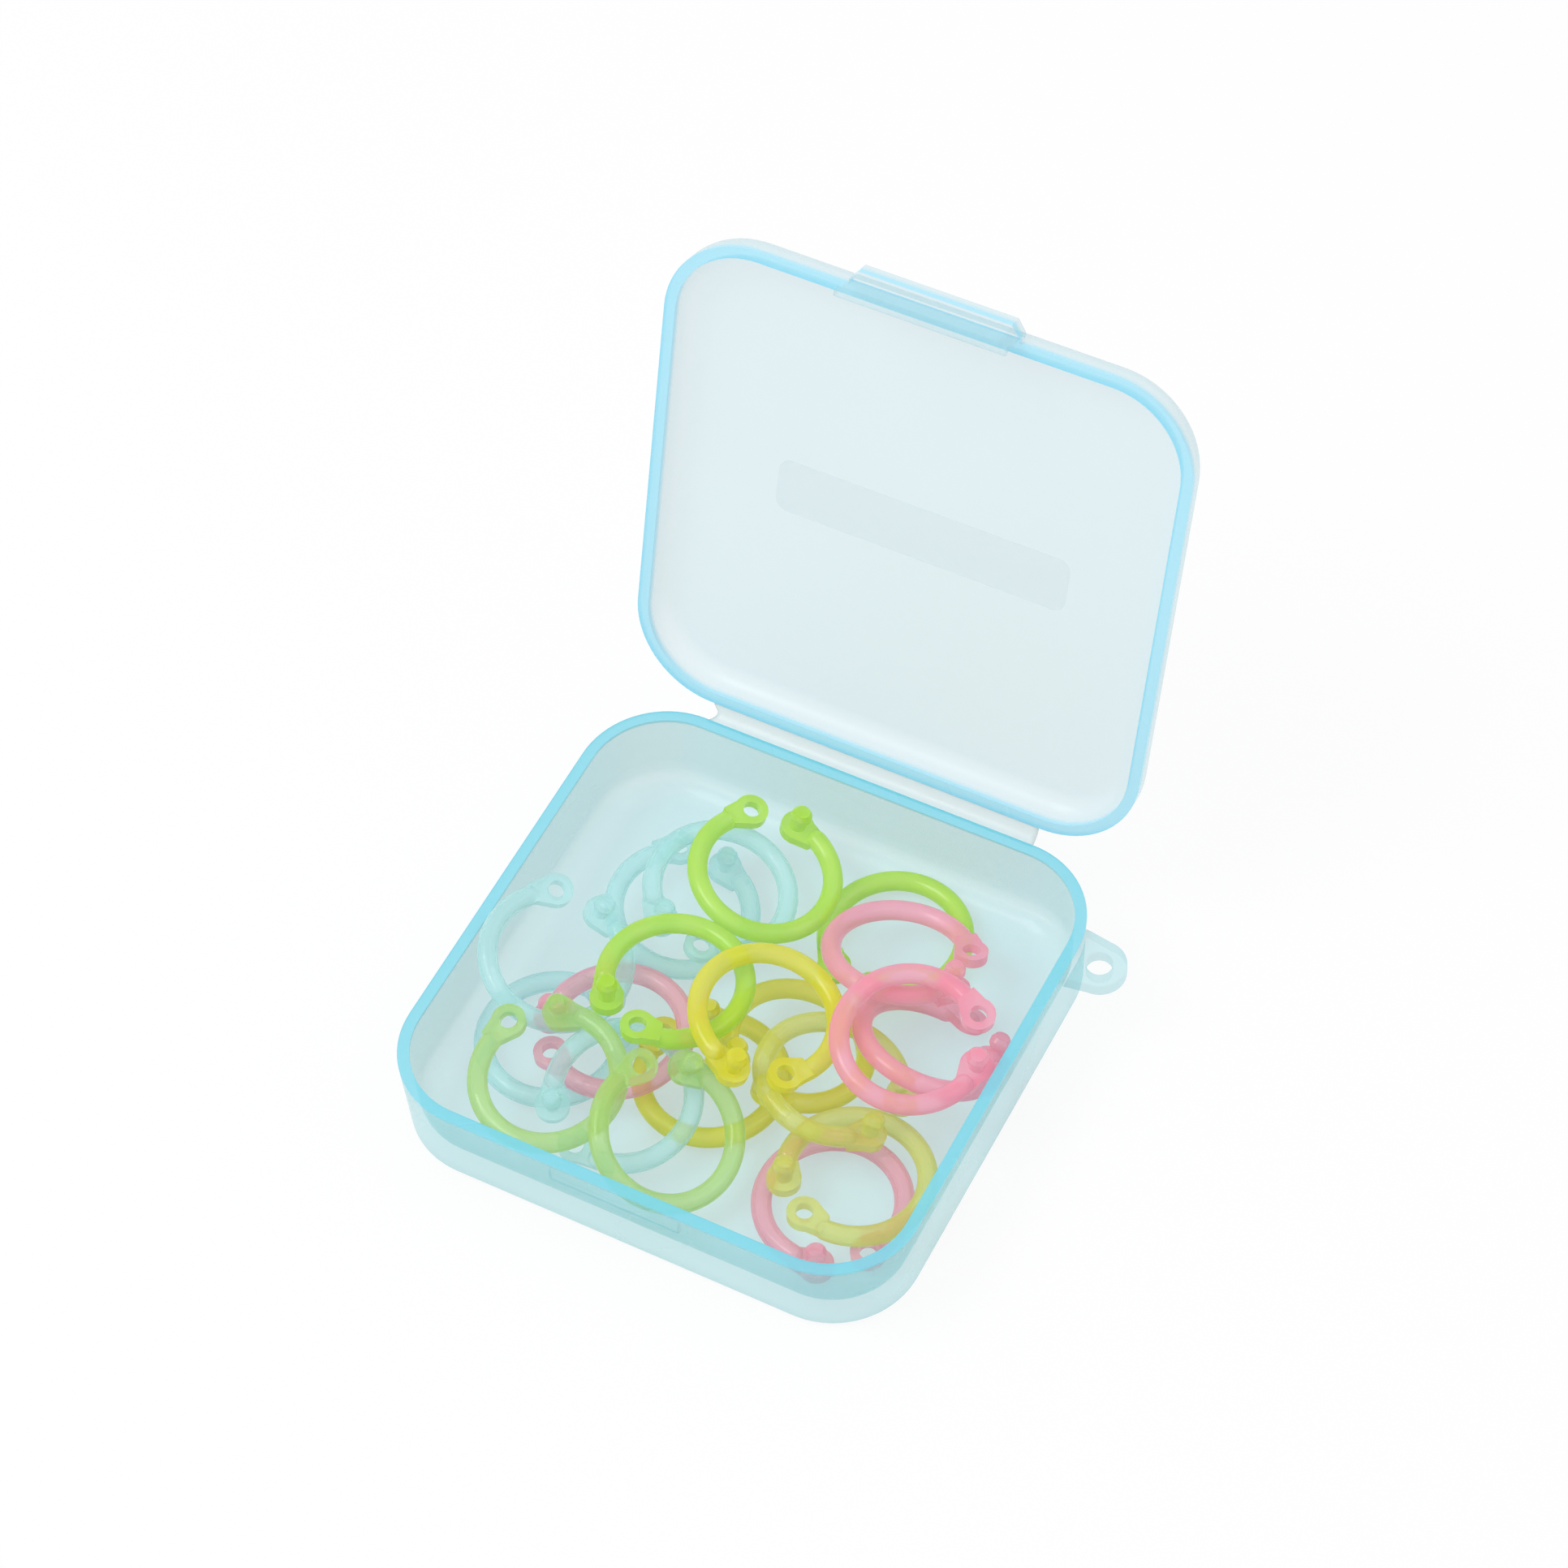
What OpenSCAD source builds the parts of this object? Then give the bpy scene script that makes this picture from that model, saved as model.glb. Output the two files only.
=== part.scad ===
// Hinged storage case moulded in one piece, holding twenty locking ring stitch markers.
// Millimetres. +X is right, +Y is towards the hinge, +Z is up.
// The origin is the middle of the underside of the case.

/* [Case base] */
// Play from side to side beside three markers in a row
side_play = 5.9; // [5.8:0.1:12]
// Play from front to back beside three markers in a row
end_play = 3.9; // [3.8:0.1:12]
// Height of the base, from underside to rim
base_h = 11.4; // [10.5:0.1:20]
// Radius of the upright corners at the rim
corner_r = 10; // [8:0.5:13]
// Thickness of the upright walls
wall_t = 1.25; // [1:0.05:1.8]
// Thickness of the floor
floor_t = 1.2; // [0.8:0.05:1.6]
// How far each wall leans in, from rim to underside
draft = 0.35; // [0.1:0.05:0.6]
// Fillet round the outside of the floor
foot_r = 1.3; // [0.6:0.1:2]
// Fillet round the inside of the floor
floor_r = 3.4; // [2:0.1:4]

/* [Lid] */
// Depth of the lid, from its mouth to its top face
lid_h = 4; // [3.5:0.1:6]
// Thickness of the lid's panel
panel_t = 1.2; // [0.8:0.05:1.5]
// Fillet round the outside of the lid's panel
lid_foot_r = 2.4; // [1:0.1:2.6]
// Fillet round the inside of the lid's panel
lid_floor_r = 2.4; // [1:0.1:2.6]
// How far the lid stands out past the base all round
lid_over = 0.15; // [0:0.05:0.3]
// Gap between the rims when the lid is shut
rim_gap = 0.15; // [0.1:0.05:0.4]
// Angle from shut at which the lid stands
lid_open = 107; // [0:1:180]

/* [Hinge] */
// Length of the hinge web along the back wall
hinge_l = 40; // [30:0.5:40]
// Distance of the folding line behind the back wall
hinge_out = 1.2; // [0.9:0.05:2]
// Thickness of the web
web_t = 0.4; // [0.3:0.05:0.6]
// Radius of the bead along the folding line
bead_r = 0.25; // [0.15:0.05:0.3]
// Running clearance round the folding line
hinge_clear = 0.05; // [0.03:0.01:0.1]

/* [Latch] */
// Width of the latch tab where it meets the lid
tab_w = 19.2; // [16:0.1:22]
// Thickness of the latch tab
tab_t = 1.3; // [1:0.05:1.8]
// How far the tab hangs below the mouth of the lid
tab_drop = 3.8; // [3.2:0.1:5]
// Height of the tab's root on the lid's wall
tab_root = 1.4; // [1:0.1:1.6]
// Width of the catch on the front wall
catch_w = 15; // [10:0.1:15.5]
// How far the catch stands out from the front wall
catch_out = 0.35; // [0.2:0.05:0.5]
// Height of the catch
catch_h = 2.2; // [1.6:0.1:2.6]
// How far the catch starts below the rim
catch_down = 0.5; // [0.3:0.1:0.8]
// Gap between the latch and the catch as they pass
latch_clear = 0.1; // [0.08:0.01:0.2]

/* [Hang loop] */
// Diameter of the hole in the hang loop
loop_hole_d = 2.9; // [2:0.1:4]
// Width of plastic round the hole
loop_band = 1.5; // [1:0.1:2]
// Thickness of the loop
loop_t = 1.6; // [1:0.1:3]
// Distance of the hole from the side wall
loop_out = 2.6; // [2.4:0.1:4]
// Distance of the hole behind the middle of the case
loop_y = 18.8; // [0:0.1:19]
// Depth of the loop's upper face below the rim
loop_down = 1; // [0.5:0.1:4]
// How far the loop widens on each side towards the wall
loop_flare = 0.4; // [0.2:0.1:1]

/* [Stitch marker] */
// Outside diameter of the ring
ring_od = 17.2; // [16:0.1:17.6]
// Diameter of the ring's round bar
bar_d = 2.2; // [1.8:0.1:2.3]
// Diameter of the round pad at each end
pad_d = 3.7; // [3.2:0.1:3.8]
// Distance between the middles of the two pads
pad_gap = 5.4; // [4.8:0.1:6]
// Length from the end of the bar to the middle of its pad
pad_reach = 2.7; // [2.4:0.1:3]
// Diameter of the hole in the eye pad
eye_d = 1.9; // [1.6:0.1:2.1]
// Diameter of the peg's neck
neck_d = 1.8; // [1.5:0.1:1.9]
// Diameter of the peg's head
head_d = 2.3; // [2:0.1:2.4]
// Height of the peg above its pad
peg_h = 2.8; // [2.4:0.1:3]
// Gap that each marker keeps from the one it lies on
lie_gap = 0.3; // [0.25:0.05:0.35]

/* [Hidden] */
$fn = 48;
eps = 0.01;

aqua = [0.66, 0.86, 0.84, 0.8];
green = [0.70, 0.84, 0.35, 0.8];
yellow = [0.83, 0.81, 0.28, 0.8];
pink = [0.93, 0.56, 0.66, 0.8];
case_blue = [0.72, 0.88, 0.92, 0.6];
web_white = [0.87, 0.91, 0.92, 0.6];

// The case takes three markers in a row each way, between its walls
row = 3 * ring_od;
case_w = row + side_play + 2 * wall_t;
case_d = row + end_play + 2 * wall_t;
lid_w = case_w + 2 * lid_over;
lid_d = case_d + 2 * lid_over;
lid_corner_r = corner_r + lid_over;
mouth_z = base_h + rim_gap;
hinge_y = case_d / 2 + hinge_out;
hinge_z = base_h + rim_gap / 2;
lid_edge_y = lid_d / 2;
catch_tip_y = case_d / 2 + catch_out;
catch_low_z = base_h - catch_down - catch_h;
// Distance from the folding line to the outermost point of the catch
catch_sweep = norm([hinge_y + catch_tip_y, hinge_z - catch_low_z]);
nib_y = catch_sweep + latch_clear - hinge_y;
nib_in = 0.3;
tab_in_y = nib_y + nib_in;
tab_out_y = tab_in_y + tab_t;
bar_r = bar_d / 2;
ring_r = ring_od / 2 - bar_r;
pad_a = asin(pad_gap / 2 / ring_r);
bar_a = pad_a + pad_reach / ring_r * 180 / PI;
// Markers are laid on a grid that goes from the middle of the case to where they meet its walls
grid_steps = [40, 38];
step_x = (case_w / 2 - wall_t - ring_od / 2) / grid_steps[0];
step_y = (case_d / 2 - wall_t - ring_od / 2) / grid_steps[1];

// Section of one side of a tray from its middle line out: a wall that leans in, filleted below
module side_section(reach, height, lean, fillet) {
    slope = atan(lean / height);
    foot = reach - lean;
    cx = foot + fillet * tan(slope) - fillet / cos(slope);
    polygon([
        [0, 0], [cx, 0], [cx, fillet],
        [cx + fillet * cos(slope), fillet - fillet * sin(slope)],
        [reach, height], [0, height]
    ]);
    translate([cx, fillet]) intersection() {
        circle(fillet);
        translate([0, -fillet]) square(fillet);
    }
}

// Solid tray block: four turned corners joined by straight runs
module tray_block(w, d, height, corner, lean, fillet) {
    x = w / 2 - corner;
    y = d / 2 - corner;
    for (q = [[x, y, 0], [-x, y, 90], [-x, -y, 180], [x, -y, 270]])
        translate([q[0], q[1], 0]) rotate([0, 0, q[2]])
            rotate_extrude(angle = 90) side_section(corner, height, lean, fillet);
    for (s = [[x, y, 90, 0], [x, y, 90, 180]])
        rotate([0, 0, s[3]]) translate([x, y, 0]) rotate([90, 0, 0])
            linear_extrude(2 * y) side_section(corner, height, lean, fillet);
    for (a = [0, 180])
        rotate([0, 0, a]) translate([-x, y, 0]) rotate([90, 0, 90])
            linear_extrude(2 * x) side_section(corner, height, lean, fillet);
    translate([-x, -y, 0]) cube([2 * x, 2 * y, height]);
}

module base_block() {
    tray_block(case_w, case_d, base_h, corner_r, draft, foot_r);
}

module base_hollow() {
    translate([0, 0, floor_t])
        tray_block(case_w - 2 * wall_t, case_d - 2 * wall_t, base_h, corner_r - wall_t, draft, floor_r);
}

// Plate with a round hole that stands out from the right-hand wall
module hang_loop() {
    loop_r = loop_hole_d / 2 + loop_band;
    spread = loop_r + loop_flare;
    root = wall_t / 2;
    translate([case_w / 2, loop_y, base_h - loop_down - loop_t]) difference() {
        linear_extrude(loop_t) {
            translate([loop_out, 0]) circle(loop_r);
            polygon([[-root, -spread], [0, -spread], [loop_out, -loop_r],
                     [loop_out, loop_r], [0, spread], [-root, spread]]);
        }
        translate([loop_out, 0, -eps]) cylinder(r = loop_hole_d / 2, h = loop_t + 2 * eps);
    }
}

// Wedge on the front wall that the latch snaps over
module catch() {
    translate([-catch_w / 2, -case_d / 2, catch_low_z]) rotate([90, 0, 90])
        linear_extrude(catch_w)
            polygon([[wall_t / 2, 0], [0, 0], [-catch_out, catch_h * 0.2],
                     [-catch_out, catch_h * 0.6], [0, catch_h], [wall_t / 2, catch_h]]);
}

module case_base() {
    color(case_blue) difference() {
        union() {
            base_block();
            hang_loop();
            catch();
        }
        base_hollow();
    }
}

// Everything on the lid is drawn with the lid shut, then swung open about the folding line
module swing_open() {
    translate([0, hinge_y, hinge_z]) rotate([-lid_open, 0, 0])
        translate([0, -hinge_y, -hinge_z]) children();
}

module lid_block() {
    translate([0, 0, mouth_z + lid_h]) mirror([0, 0, 1])
        tray_block(lid_w, lid_d, lid_h, lid_corner_r, draft / 2, lid_foot_r);
}

module lid_hollow() {
    translate([0, 0, mouth_z + lid_h - panel_t]) mirror([0, 0, 1])
        tray_block(lid_w - 2 * wall_t, lid_d - 2 * wall_t, lid_h, lid_corner_r - wall_t,
                   draft / 2, lid_floor_r);
}

// Tab that hangs from the front of the lid and snaps under the catch
module latch_tab() {
    splay = tab_t * 0.75;
    low = mouth_z - tab_drop;
    difference() {
        translate([0, 0, low]) linear_extrude(tab_drop + tab_root)
            polygon([[-tab_w / 2, -lid_d / 2 + wall_t / 2], [-tab_w / 2, -tab_in_y],
                     [-tab_w / 2 + splay, -tab_out_y], [tab_w / 2 - splay, -tab_out_y],
                     [tab_w / 2, -tab_in_y], [tab_w / 2, -lid_d / 2 + wall_t / 2]]);
        translate([-tab_w / 2 - eps, -tab_in_y, low - eps])
            cube([tab_w + 2 * eps, tab_in_y, tab_drop + eps]);
    }
    translate([-tab_w / 2, 0, low]) rotate([90, 0, 90]) linear_extrude(tab_w)
        polygon([[-tab_in_y - tab_t / 2, 0], [-tab_in_y, 0], [-nib_y, nib_in],
                 [-nib_y, nib_in * 2], [-tab_in_y, nib_in * 3], [-tab_in_y - tab_t / 2, nib_in * 3]]);
}

module case_lid() {
    color(case_blue) swing_open() difference() {
        union() {
            lid_block();
            latch_tab();
        }
        lid_hollow();
    }
}

// Half of the web, from the back wall to the bead on the folding line
module hinge_base_leaf() {
    color(web_white) difference() {
        translate([-hinge_l / 2, 0, 0]) rotate([90, 0, 90]) linear_extrude(hinge_l) {
            translate([hinge_y, hinge_z]) circle(bead_r);
            polygon([[case_d / 2 - eps, base_h - web_t], [hinge_y, hinge_z - bead_r],
                     [hinge_y, hinge_z], [hinge_y - bead_r, base_h], [case_d / 2 - eps, base_h]]);
        }
        base_block();
    }
}

// Half of the web, from the bead to the rim of the lid
module hinge_lid_leaf() {
    color(web_white) swing_open() difference() {
        translate([-hinge_l / 2, 0, 0]) rotate([90, 0, 90]) linear_extrude(hinge_l) difference() {
            polygon([[lid_edge_y - eps, mouth_z], [hinge_y, hinge_z],
                     [hinge_y, mouth_z + web_t], [lid_edge_y - eps, mouth_z + web_t]]);
            translate([hinge_y, hinge_z]) circle(bead_r + hinge_clear);
        }
        lid_block();
    }
}

// Flat teardrop pad that carries on from the end of the bar
module pad_outline(side) {
    rotate(side * pad_a) translate([ring_r, 0]) circle(pad_d / 2);
    polygon([
        [(ring_r - bar_r) * cos(bar_a), side * (ring_r - bar_r) * sin(bar_a)],
        [(ring_r - pad_d / 2) * cos(pad_a), side * (ring_r - pad_d / 2) * sin(pad_a)],
        [(ring_r + pad_d / 2) * cos(pad_a), side * (ring_r + pad_d / 2) * sin(pad_a)],
        [(ring_r + bar_r) * cos(bar_a), side * (ring_r + bar_r) * sin(bar_a)]
    ]);
}

// Peg with a neck that the eye closes on and a rounded head that holds it
module peg() {
    neck_h = peg_h * 0.45;
    rotate_extrude() polygon([
        [0, -eps], [neck_d / 2, -eps], [neck_d / 2, neck_h], [head_d / 2, neck_h + peg_h * 0.15],
        [head_d / 2, peg_h * 0.8], [head_d / 2 - peg_h * 0.12, peg_h], [0, peg_h]
    ]);
}

// One marker, lying flat with its opening towards +X
module ring_marker() {
    rotate([0, 0, bar_a]) rotate_extrude(angle = 360 - 2 * bar_a)
        translate([ring_r, 0]) circle(bar_r);
    for (side = [-1, 1])
        rotate([0, 0, side * bar_a]) translate([ring_r, 0, 0]) sphere(bar_r);
    difference() {
        linear_extrude(bar_r) pad_outline(1);
        rotate([0, 0, pad_a]) translate([ring_r, 0, -eps])
            cylinder(d = eye_d, h = bar_r + 2 * eps);
    }
    translate([0, 0, -bar_r]) linear_extrude(bar_r) pad_outline(-1);
    rotate([0, 0, -pad_a]) translate([ring_r, 0, 0]) peg();
}

// A marker at its place in the pile. at is the middle of its ring on the grid, and bars is how
// many bar thicknesses its lowest edge lies above the floor. lean is the tilt of the ring,
// toward is the side that it tilts down to, and turn is how far the opening is turned.
module marker(at, bars, lean, toward, turn) {
    low_z = floor_t + lie_gap + bars * (bar_d + lie_gap);
    translate([at[0] * step_x, at[1] * step_y, low_z + bar_r + ring_r * sin(lean)])
        rotate([0, 0, toward]) rotate([0, lean, 0]) rotate([0, 0, turn]) ring_marker();
}

// Lying flat on the floor
module marker_aqua_5() { color(aqua) marker([-36, -21], 0, 0, 0, 45); }
module marker_yellow_2() { color(yellow) marker([-1, -15], 0, 0, 0, 140); }
module marker_green_5() { color(green) marker([18, 34], 0, 0, 0, 255); }
module marker_pink_5() { color(pink) marker([36, -31], 0, 0, 0, 305); }

// Propped up on one edge
module marker_aqua_3() { color(aqua) marker([-26, 19], 0, 10, 0, 100); }
module marker_yellow_5() { color(yellow) marker([13, -2], 0, 15, 40, 210); }
module marker_pink_3() { color(pink) marker([39, 8], 0, 30, 70, 345); }

// Lying on one other
module marker_pink_4() { color(pink) marker([-23, -16], 1, 0, 0, 210); }
module marker_yellow_4() { color(yellow) marker([39, -26], 0.75, 5, 60, 170); }
module marker_aqua_2() { color(aqua) marker([-19, 24], 0.75, 15, 0, 260); }
module marker_aqua_4() { color(aqua) marker([-13, -31], 0.75, 15, 305, 290); }
module marker_yellow_3() { color(yellow) marker([25, -9], 1, 15, 45, 305); }
module marker_pink_1() { color(pink) marker([24, 25], 1, 20, 95, 270); }
module marker_green_2() { color(green) marker([1, -37], 0.75, 30, 345, 140); }

// On top of the pile
module marker_green_4() { color(green) marker([-11, 30], 1.5, 15, 10, 100); }
module marker_green_1() { color(green) marker([-27, -37], 2.25, 10, 285, 205); }
module marker_aqua_1() { color(aqua) marker([-40, -10], 1.75, 20, 350, 110); }
module marker_green_3() { color(green) marker([-14, -5], 2.75, 5, 40, 205); }
module marker_yellow_1() { color(yellow) marker([8, -5], 2.5, 15, 10, 280); }
module marker_pink_2() { color(pink) marker([38, 2], 3, 10, 315, 70); }

case_base();
case_lid();
hinge_base_leaf();
hinge_lid_leaf();
marker_aqua_1();
marker_aqua_2();
marker_aqua_3();
marker_aqua_4();
marker_aqua_5();
marker_green_1();
marker_green_2();
marker_green_3();
marker_green_4();
marker_green_5();
marker_yellow_1();
marker_yellow_2();
marker_yellow_3();
marker_yellow_4();
marker_yellow_5();
marker_pink_1();
marker_pink_2();
marker_pink_3();
marker_pink_4();
marker_pink_5();
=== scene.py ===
# Hinged case of ring stitch markers: finishes, hinge web, blank label, lights and camera.
# Metres, in the frame of the CAD part.
import math
import bmesh
import bpy
from mathutils import Matrix, Vector


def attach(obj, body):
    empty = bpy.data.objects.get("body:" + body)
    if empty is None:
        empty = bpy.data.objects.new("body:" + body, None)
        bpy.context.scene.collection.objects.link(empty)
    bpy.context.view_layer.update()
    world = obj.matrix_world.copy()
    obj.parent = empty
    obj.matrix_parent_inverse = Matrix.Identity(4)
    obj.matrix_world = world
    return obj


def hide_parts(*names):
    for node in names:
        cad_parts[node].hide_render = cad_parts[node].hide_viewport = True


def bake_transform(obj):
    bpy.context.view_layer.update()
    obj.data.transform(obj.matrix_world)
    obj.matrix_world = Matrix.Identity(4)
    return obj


mm = 0.001
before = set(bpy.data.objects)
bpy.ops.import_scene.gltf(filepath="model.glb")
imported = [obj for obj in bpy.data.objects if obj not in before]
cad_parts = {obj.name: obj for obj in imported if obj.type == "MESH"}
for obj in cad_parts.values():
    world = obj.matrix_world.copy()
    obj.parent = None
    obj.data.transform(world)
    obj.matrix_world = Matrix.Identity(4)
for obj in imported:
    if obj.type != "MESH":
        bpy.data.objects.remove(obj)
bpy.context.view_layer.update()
print("frame loaded:", len(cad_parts), "nodes")

# the line that the lid turns on, and how far it stands open at rest
hingeLine = {"y": 30.2, "z": 11.475, "open": 107}
hingePoint = Vector((0, hingeLine["y"] * mm, hingeLine["z"] * mm))
swingOpen = Matrix.Rotation(-math.radians(hingeLine["open"]), 3, "X")


# Small helpers
def newObject(name, mesh):
    obj = bpy.data.objects.new(name, mesh)
    bpy.context.scene.collection.objects.link(obj)
    return obj


def finishMesh(bm, name, smooth=True):
    bmesh.ops.remove_doubles(bm, verts=bm.verts, dist=1e-6)
    bmesh.ops.recalc_face_normals(bm, faces=bm.faces)
    mesh = bpy.data.meshes.new(name)
    bm.to_mesh(mesh)
    bm.free()
    for face in mesh.polygons:
        face.use_smooth = smooth
    return newObject(name, mesh)


def newMaterial(name):
    material = bpy.data.materials.new(name)
    material.use_nodes = True
    nodes = material.node_tree.nodes
    links = material.node_tree.links
    return material, nodes, links, nodes["Principled BSDF"]


def addNode(nodes, kind, place, **settings):
    made = nodes.new(kind)
    made.location = place
    for key, value in settings.items():
        setattr(made, key, value)
    return made


def newGroup(name, inputs, outputs):
    group = bpy.data.node_groups.new(name, "ShaderNodeTree")
    for socket, kind, value in inputs:
        made = group.interface.new_socket(socket, in_out="INPUT", socket_type=kind)
        if value is not None:
            made.default_value = value
    for socket, kind in outputs:
        group.interface.new_socket(socket, in_out="OUTPUT", socket_type=kind)
    start = addNode(group.nodes, "NodeGroupInput", (-700, 0))
    end = addNode(group.nodes, "NodeGroupOutput", (500, 0))
    return group, start, end


def useGroup(nodes, group, place):
    made = addNode(nodes, "ShaderNodeGroup", place)
    made.node_tree = group
    return made


# Shared effects
# slow waviness of moulded plastic: a roughness and a height from one noise
def makeMouldedSurface():
    group, start, end = newGroup(
        "mouldedSurface",
        [("Vector", "NodeSocketVector", None), ("Wave Size", "NodeSocketFloat", 90.0),
         ("Smooth", "NodeSocketFloat", 0.1), ("Hazy", "NodeSocketFloat", 0.3)],
        [("Roughness", "NodeSocketFloat"), ("Height", "NodeSocketFloat")])
    nodes, links = group.nodes, group.links
    wave = addNode(nodes, "ShaderNodeTexNoise", (-450, 150))
    wave.inputs["Detail"].default_value = 1.0
    spread = addNode(nodes, "ShaderNodeMapRange", (-200, -150))
    spread.inputs["From Min"].default_value = 0.35
    spread.inputs["From Max"].default_value = 0.65
    links.new(start.outputs["Vector"], wave.inputs["Vector"])
    links.new(start.outputs["Wave Size"], wave.inputs["Scale"])
    links.new(wave.outputs["Fac"], spread.inputs["Value"])
    links.new(start.outputs["Smooth"], spread.inputs["To Min"])
    links.new(start.outputs["Hazy"], spread.inputs["To Max"])
    links.new(spread.outputs["Result"], end.inputs["Roughness"])
    links.new(wave.outputs["Fac"], end.inputs["Height"])
    return group


# tint that gathers in a band at one height of a piece, such as the rim of a tray
def makeRimTint():
    group, start, end = newGroup(
        "rimTint",
        [("Vector", "NodeSocketVector", None), ("Start", "NodeSocketFloat", 0.0),
         ("Full", "NodeSocketFloat", 0.01), ("Fade", "NodeSocketFloat", 0.02),
         ("Gone", "NodeSocketFloat", 0.03), ("Body", "NodeSocketColor", (1, 1, 1, 1)),
         ("Rim", "NodeSocketColor", (0.5, 0.8, 0.9, 1))],
        [("Color", "NodeSocketColor"), ("Mask", "NodeSocketFloat")])
    nodes, links = group.nodes, group.links
    split = addNode(nodes, "ShaderNodeSeparateXYZ", (-500, 0))
    rise = addNode(nodes, "ShaderNodeMapRange", (-300, 100), interpolation_type="SMOOTHSTEP")
    fall = addNode(nodes, "ShaderNodeMapRange", (-300, -200), interpolation_type="SMOOTHSTEP")
    band = addNode(nodes, "ShaderNodeMath", (-50, 0), operation="MULTIPLY")
    mix = addNode(nodes, "ShaderNodeMix", (200, 100), data_type="RGBA")
    links.new(start.outputs["Vector"], split.inputs["Vector"])
    for ramp, low, high in ((rise, "Start", "Full"), (fall, "Gone", "Fade")):
        links.new(split.outputs["Z"], ramp.inputs["Value"])
        links.new(start.outputs[low], ramp.inputs["From Min"])
        links.new(start.outputs[high], ramp.inputs["From Max"])
    links.new(rise.outputs["Result"], band.inputs[0])
    links.new(fall.outputs["Result"], band.inputs[1])
    links.new(band.outputs["Value"], mix.inputs["Factor"])
    links.new(start.outputs["Body"], mix.inputs["A"])
    links.new(start.outputs["Rim"], mix.inputs["B"])
    links.new(mix.outputs["Result"], end.inputs["Color"])
    links.new(band.outputs["Value"], end.inputs["Mask"])
    return group


mouldedSurface = makeMouldedSurface()
rimTint = makeRimTint()


def addSurface(nodes, links, shader, vector, skin):
    surface = useGroup(nodes, mouldedSurface, (-500, -300))
    surface.inputs["Wave Size"].default_value = skin["waves"]
    surface.inputs["Smooth"].default_value = skin["smooth"]
    surface.inputs["Hazy"].default_value = skin["hazy"]
    bump = addNode(nodes, "ShaderNodeBump", (-250, -400))
    bump.inputs["Strength"].default_value = skin["strength"]
    bump.inputs["Distance"].default_value = skin["height"] * mm
    shader.inputs["IOR"].default_value = skin["ior"]
    links.new(vector, surface.inputs["Vector"])
    links.new(surface.outputs["Roughness"], shader.inputs["Roughness"])
    links.new(surface.outputs["Height"], bump.inputs["Height"])
    links.new(bump.outputs["Normal"], shader.inputs["Normal"])


# Case plastic
# waves per metre, the two ends of its roughness, and bump height in mm
caseSkin = {"waves": 60.0, "smooth": 0.16, "hazy": 0.30, "strength": 0.5, "height": 0.3,
            "ior": 1.45, "edgeBlend": 0.35}
# heights of the rim band in mm, in the shut case
# glow is painted light: a faint emission in the plastic's own tint that lifts the shade inside the
# clear walls
caseTintAndGlow = {
    "body": (0.25, 0.70, 0.76, 1), "rim": (0.18, 0.66, 0.80, 1),
    "bodyAlpha": 0.23, "rimAlpha": 0.78, "edgeAlpha": 0.5, "glow": 0.04,
    "rimStart": 10.9, "rimFull": 11.35, "rimFade": 13.0, "rimGone": 14.0,
}
lidTintAndGlow = {
    "body": (0.46, 0.72, 0.79, 1), "rim": (0.26, 0.75, 0.95, 1),
    "bodyAlpha": 0.19, "rimAlpha": 0.68, "edgeAlpha": 0.45, "glow": 0.06,
    "rimStart": 12.6, "rimFull": 11.7, "rimFade": 11.45, "rimGone": 11.1,
}


def makeCasePlastic(name, look, turned):
    material, nodes, links, shader = newMaterial(name)
    place = addNode(nodes, "ShaderNodeTexCoord", (-1200, 0))
    vector = place.outputs["Object"]
    if turned:
        # Mapping turns the open lid back to shut, so that its rim lies level
        back = addNode(nodes, "ShaderNodeMapping", (-1000, 0), vector_type="TEXTURE")
        back.inputs["Rotation"].default_value = (-math.radians(hingeLine["open"]), 0, 0)
        away = swingOpen @ -hingePoint + hingePoint
        back.inputs["Location"].default_value = away
        links.new(vector, back.inputs["Vector"])
        vector = back.outputs["Vector"]
    tint = useGroup(nodes, rimTint, (-700, 200))
    tint.inputs["Start"].default_value = look["rimStart"] * mm
    tint.inputs["Full"].default_value = look["rimFull"] * mm
    tint.inputs["Fade"].default_value = look["rimFade"] * mm
    tint.inputs["Gone"].default_value = look["rimGone"] * mm
    tint.inputs["Body"].default_value = look["body"]
    tint.inputs["Rim"].default_value = look["rim"]
    links.new(vector, tint.inputs["Vector"])
    links.new(tint.outputs["Color"], shader.inputs["Base Color"])
    # painted light: the case glows faintly in its body and rim tint, lifting the shade that falls
    # inside it
    links.new(tint.outputs["Color"], shader.inputs["Emission Color"])
    shader.inputs["Emission Strength"].default_value = look["glow"]
    # denser where the wall is seen along its face, and at the rim
    edge = addNode(nodes, "ShaderNodeLayerWeight", (-700, -50))
    edge.inputs["Blend"].default_value = caseSkin["edgeBlend"]
    side = addNode(nodes, "ShaderNodeMapRange", (-500, -50))
    side.inputs["To Min"].default_value = look["bodyAlpha"]
    side.inputs["To Max"].default_value = look["edgeAlpha"]
    links.new(edge.outputs["Facing"], side.inputs["Value"])
    dense = addNode(nodes, "ShaderNodeMix", (-300, 50))
    dense.inputs["B"].default_value = look["rimAlpha"]
    links.new(tint.outputs["Mask"], dense.inputs["Factor"])
    links.new(side.outputs["Result"], dense.inputs["A"])
    links.new(dense.outputs["Result"], shader.inputs["Alpha"])
    addSurface(nodes, links, shader, vector, caseSkin)
    return material


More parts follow.
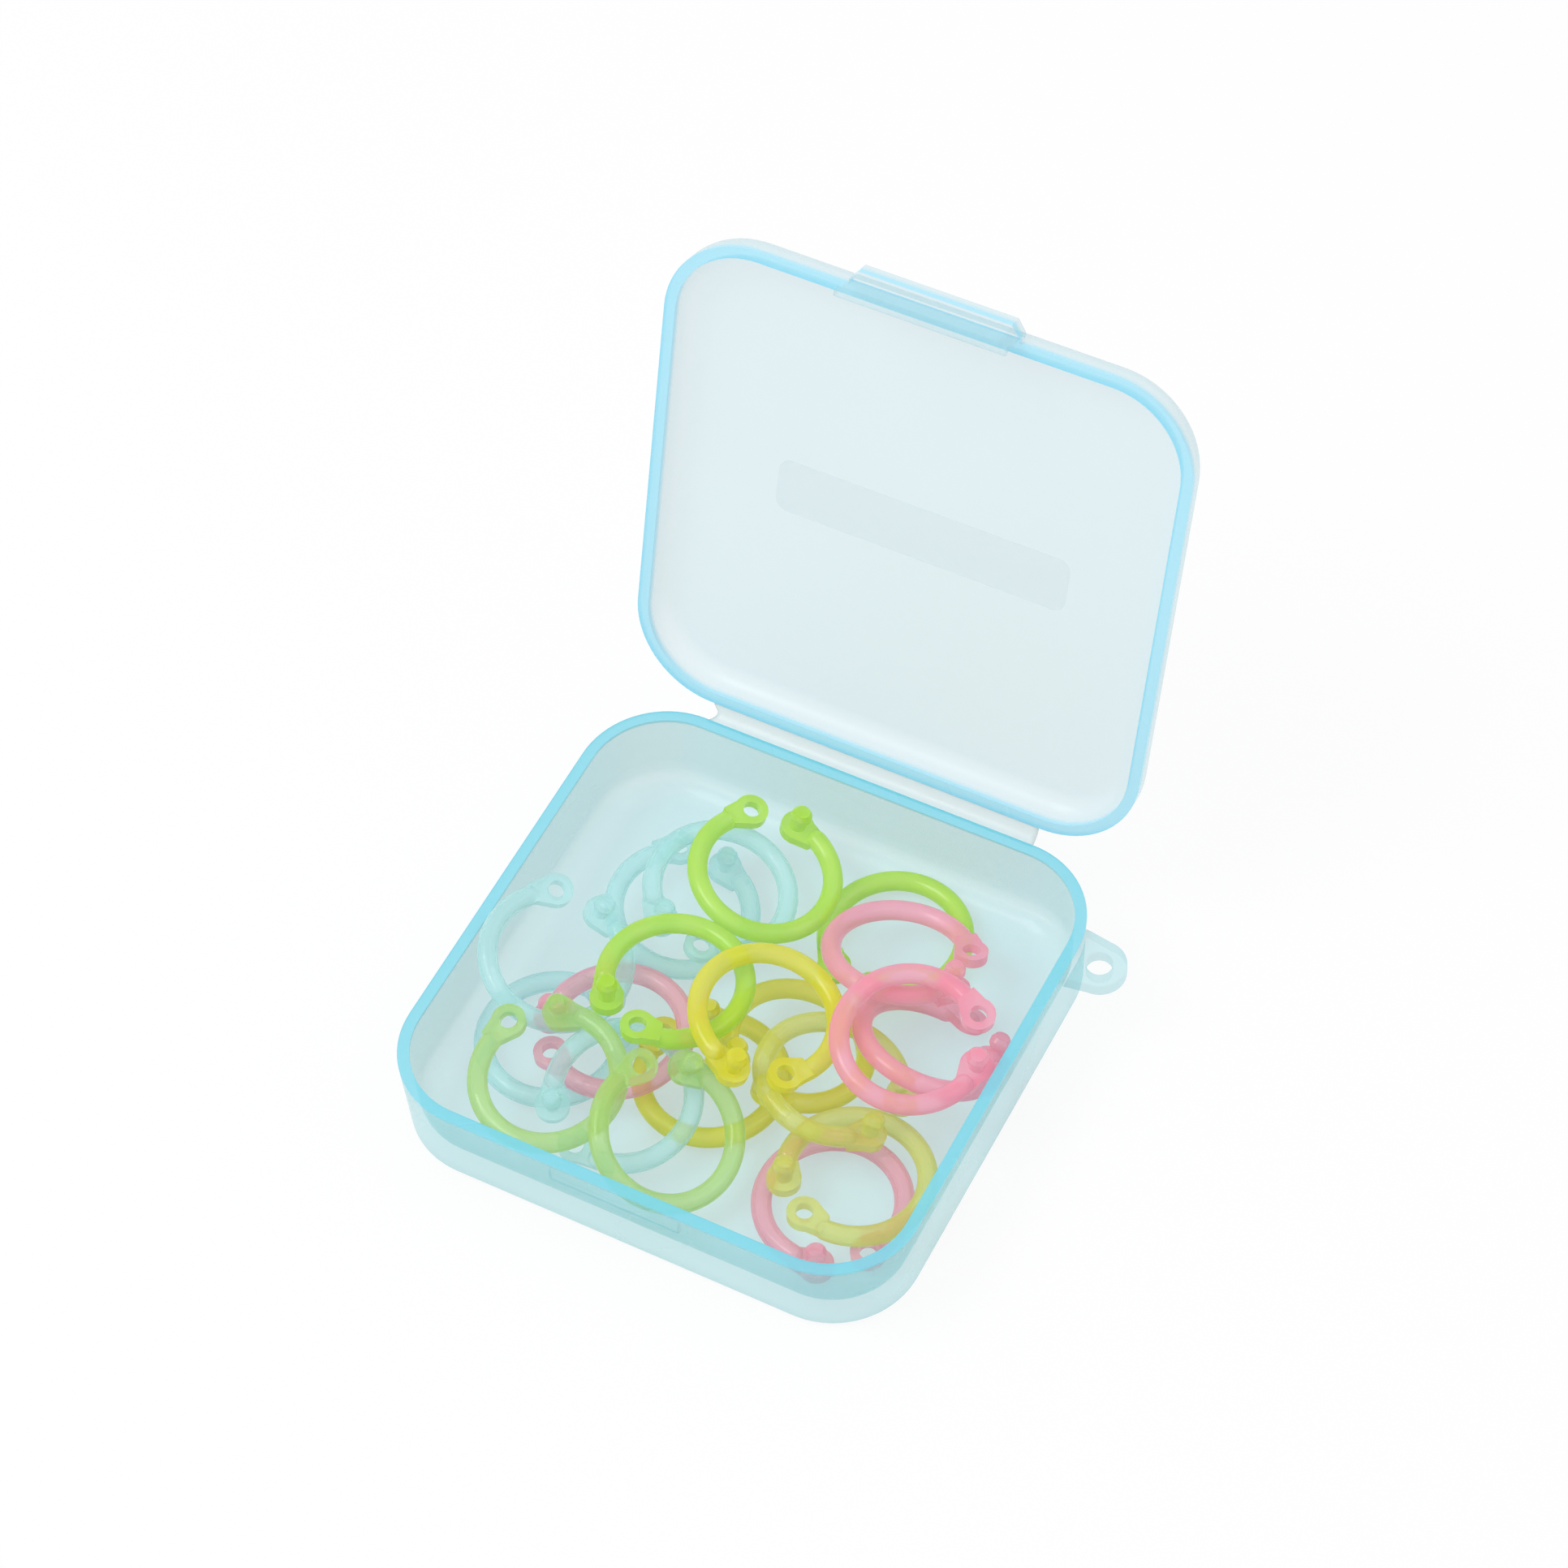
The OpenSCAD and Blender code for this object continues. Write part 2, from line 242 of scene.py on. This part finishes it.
# Marker plastic
# glow stands for the light that scatters inside a clear dyed bar
markerSkin = {"waves": 220.0, "smooth": 0.10, "hazy": 0.20, "strength": 0.5, "height": 0.1,
              "ior": 1.4, "edgeBlend": 0.4}
markerLooks = {
    "aqua": {"color": (0.52, 0.83, 0.84, 1),
             "clear": 0.5, "alpha": 0.50, "edge": 0.86, "glow": 0.07},
    "lime": {"color": (0.52, 0.80, 0.07, 1),
             "clear": 0.4, "alpha": 0.68, "edge": 0.98, "glow": 0.08},
    "paleGreen": {"color": (0.50, 0.74, 0.22, 1),
                  "clear": 0.5, "alpha": 0.60, "edge": 0.92, "glow": 0.07},
    "yellow": {"color": (0.80, 0.76, 0.055, 1),
               "clear": 0.4, "alpha": 0.68, "edge": 0.98, "glow": 0.08},
    "paleYellow": {"color": (0.72, 0.74, 0.16, 1),
                   "clear": 0.5, "alpha": 0.60, "edge": 0.92, "glow": 0.07},
    "pink": {"color": (0.94, 0.40, 0.52, 1),
             "clear": 0.4, "alpha": 0.64, "edge": 0.97, "glow": 0.08},
    "palePink": {"color": (0.92, 0.42, 0.52, 1),
                 "clear": 0.5, "alpha": 0.58, "edge": 0.93, "glow": 0.07},
}
# the dye of each marker as photographed, aqua where none is given
dyes = {
    "marker_green_1": "paleGreen", "marker_green_2": "paleGreen", "marker_green_3": "lime",
    "marker_green_4": "lime", "marker_green_5": "lime",
    "marker_yellow_1": "yellow", "marker_yellow_2": "yellow", "marker_yellow_3": "paleYellow",
    "marker_yellow_4": "paleYellow", "marker_yellow_5": "yellow",
    "marker_pink_1": "pink", "marker_pink_2": "pink", "marker_pink_3": "pink",
    "marker_pink_4": "palePink", "marker_pink_5": "palePink",
}


def makeMarkerPlastic(name, look):
    material, nodes, links, shader = newMaterial(name)
    place = addNode(nodes, "ShaderNodeTexCoord", (-1200, 0))
    shader.inputs["Base Color"].default_value = look["color"]
    edge = addNode(nodes, "ShaderNodeLayerWeight", (-700, -50))
    edge.inputs["Blend"].default_value = markerSkin["edgeBlend"]
    side = addNode(nodes, "ShaderNodeMapRange", (-500, -50))
    side.inputs["To Min"].default_value = look["alpha"]
    side.inputs["To Max"].default_value = look["edge"]
    links.new(edge.outputs["Facing"], side.inputs["Value"])
    links.new(side.outputs["Result"], shader.inputs["Alpha"])
    shader.inputs["Transmission Weight"].default_value = look["clear"]
    shader.inputs["Emission Color"].default_value = look["color"]
    shader.inputs["Emission Strength"].default_value = look["glow"]
    addSurface(nodes, links, shader, place.outputs["Object"], markerSkin)
    return material


caseMaterial = makeCasePlastic("casePlastic", caseTintAndGlow, False)
lidMaterial = makeCasePlastic("lidPlastic", lidTintAndGlow, True)
markerMaterials = {hue: makeMarkerPlastic(hue + "Plastic", look)
                   for hue, look in markerLooks.items()}
print("materials made")


def dress(obj, material):
    obj.data.materials.clear()
    obj.data.materials.append(material)


for name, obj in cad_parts.items():
    if name.startswith("marker_"):
        dress(obj, markerMaterials[dyes.get(name, "aqua")])
    elif name in ("case_lid", "hinge_lid_leaf"):
        dress(obj, lidMaterial)
    else:
        dress(obj, caseMaterial)
print("nodes dressed")

# Hinge web
# one thin moulded strip bent between the rims, in place of the two leaves of the frame
webSize = {"length": 39.6, "start": (29.02, 11.2), "fold": (30.2, 11.3), "end": (30.72, 12.36),
           "thick": 0.36, "notch": 0.7, "notchRound": 12, "along": 60, "across": 10}


def makeHingeWeb():
    bm = bmesh.new()
    bmesh.ops.create_grid(bm, x_segments=webSize["along"], y_segments=webSize["across"],
                          size=0.5)
    startY, startZ = webSize["start"]
    foldY, foldZ = webSize["fold"]
    endY, endZ = webSize["end"]
    for v in bm.verts:
        t = v.co.y + 0.5
        # a smooth bend from the back wall, past the folding line, to the lid
        near, mid, far = (1 - t) ** 2, 2 * t * (1 - t), t ** 2
        # the left end is a rounded notch, the right end is cut straight
        leftward = max(0.0, -2 * v.co.x) ** webSize["notchRound"]
        inset = webSize["notch"] * math.sin(math.pi * t) * leftward
        v.co = Vector((v.co.x * webSize["length"] + inset,
                       near * startY + mid * foldY + far * endY,
                       near * startZ + mid * foldZ + far * endZ)) * mm
    bmesh.ops.solidify(bm, geom=bm.faces[:], thickness=webSize["thick"] * mm)
    web = finishMesh(bm, "hingeWeb")
    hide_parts("hinge_base_leaf", "hinge_lid_leaf")
    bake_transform(web)
    return web


# Blank label
# clear film on the outside of the lid, left without words
labelSize = {"width": 34.2, "height": 6.5, "thick": 0.06, "middle": (0.3, 0.6), "outside": 15.55,
             "corner": 1.4, "cornerFaces": 6}


def makeLabel():
    bm = bmesh.new()
    bmesh.ops.create_grid(bm, x_segments=1, y_segments=1, size=0.5)
    bmesh.ops.scale(bm, vec=(labelSize["width"] * mm, labelSize["height"] * mm, 1), verts=bm.verts)
    bmesh.ops.bevel(bm, geom=bm.verts[:], offset=labelSize["corner"] * mm, affect="VERTICES",
                    segments=labelSize["cornerFaces"], profile=0.5, material=-1)
    lift = bmesh.ops.extrude_face_region(bm, geom=bm.faces[:])
    top = [item for item in lift["geom"] if isinstance(item, bmesh.types.BMVert)]
    bmesh.ops.translate(bm, vec=(0, 0, labelSize["thick"] * mm), verts=top)
    x, y = labelSize["middle"]
    bmesh.ops.translate(bm, vec=Vector((x, y, labelSize["outside"])) * mm, verts=bm.verts)
    bmesh.ops.rotate(bm, cent=hingePoint, matrix=swingOpen, verts=bm.verts)
    label = finishMesh(bm, "lidLabel", smooth=False)
    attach(label, "case_lid")
    return label


# Film and web plastics
filmLook = {"color": (0.62, 0.74, 0.80, 1), "clear": 0.0, "alpha": 0.03, "edge": 0.4,
            "glow": 0.0}
webLook = {"color": (0.62, 0.78, 0.80, 1), "clear": 0.0, "alpha": 0.34, "edge": 0.6,
           "glow": 0.0}
dress(makeHingeWeb(), makeMarkerPlastic("hingePlastic", webLook))
dress(makeLabel(), makeMarkerPlastic("labelFilm", filmLook))
print("hinge web and label made")

# Stage, lights and camera
# shadowShare is how much of the floor's own shade shows, world is the light level
stageLook = {"size": 4.0, "color": (0.93, 0.93, 0.93, 1), "roughness": 0.9, "below": 0.02,
             "shadowShare": 0.12, "world": 0.62}
lamps = [
    {"name": "keyLamp", "place": (-0.45, -0.35, 0.9), "size": 0.5, "power": 4.8},
    {"name": "fillLamp", "place": (0.6, 0.2, 0.8), "size": 0.6, "power": 1.2},
]
camera = {"place": (143.87, -229.42, 411.85), "turn": (36.40, 2.573, 27.39), "lens": 104.84,
          "sensor": 36, "near": 0.01}


# 1 for rays that come from the camera straight, by a gloss or through a clear wall
def addSeenRays(nodes, links):
    rays = addNode(nodes, "ShaderNodeLightPath", (-700, 300))
    seen = addNode(nodes, "ShaderNodeMath", (-500, 300), operation="MAXIMUM")
    seenAll = addNode(nodes, "ShaderNodeMath", (-300, 300), operation="MAXIMUM")
    links.new(rays.outputs["Is Camera Ray"], seen.inputs[0])
    links.new(rays.outputs["Is Glossy Ray"], seen.inputs[1])
    links.new(seen.outputs["Value"], seenAll.inputs[0])
    links.new(rays.outputs["Is Transmission Ray"], seenAll.inputs[1])
    return seenAll.outputs["Value"]


def makeFloor():
    bm = bmesh.new()
    bmesh.ops.create_grid(bm, x_segments=1, y_segments=1, size=stageLook["size"] / 2)
    floor = finishMesh(bm, "floor", smooth=False)
    floor.location.z = -stageLook["below"] * mm
    material, nodes, links, shader = newMaterial("floorWhite")
    shader.inputs["Base Color"].default_value = stageLook["color"]
    shader.inputs["Roughness"].default_value = stageLook["roughness"]
    glow = addNode(nodes, "ShaderNodeEmission", (0, -300))
    glow.inputs["Color"].default_value = (1, 1, 1, 1)
    share = addNode(nodes, "ShaderNodeMath", (0, 300), operation="MULTIPLY")
    share.inputs[1].default_value = 1 - stageLook["shadowShare"]
    mix = addNode(nodes, "ShaderNodeMixShader", (300, 0))
    links.new(addSeenRays(nodes, links), share.inputs[0])
    links.new(share.outputs["Value"], mix.inputs["Fac"])
    links.new(shader.outputs["BSDF"], mix.inputs[1])
    links.new(glow.outputs["Emission"], mix.inputs[2])
    links.new(mix.outputs["Shader"], nodes["Material Output"].inputs["Surface"])
    dress(floor, material)


def makeWorld():
    world = bpy.data.worlds.new("studio")
    bpy.context.scene.world = world
    world.use_nodes = True
    nodes, links = world.node_tree.nodes, world.node_tree.links
    sky = nodes["Background"]
    sky.inputs["Color"].default_value = (1, 1, 1, 1)
    level = addNode(nodes, "ShaderNodeMapRange", (-250, 200))
    level.inputs["To Min"].default_value = stageLook["world"]
    level.inputs["To Max"].default_value = 1.0
    links.new(addSeenRays(nodes, links), level.inputs["Value"])
    links.new(level.outputs["Result"], sky.inputs["Strength"])


def makeLamps():
    for lamp in lamps:
        data = bpy.data.lights.new(lamp["name"], "AREA")
        data.size = lamp["size"]
        data.energy = lamp["power"]
        obj = newObject(lamp["name"], data)
        obj.location = lamp["place"]
        obj.rotation_euler = (-Vector(lamp["place"])).to_track_quat("-Z", "Y").to_euler()


def makeCamera():
    data = bpy.data.cameras.new("camera")
    data.lens = camera["lens"]
    data.sensor_width = camera["sensor"]
    data.clip_start = camera["near"]
    obj = newObject("camera", data)
    obj.location = Vector(camera["place"]) * mm
    obj.rotation_euler = [math.radians(a) for a in camera["turn"]]
    bpy.context.scene.camera = obj


makeFloor()
makeWorld()
makeLamps()
makeCamera()
bpy.context.scene.view_settings.view_transform = "Standard"
print("stage, lights and camera made")
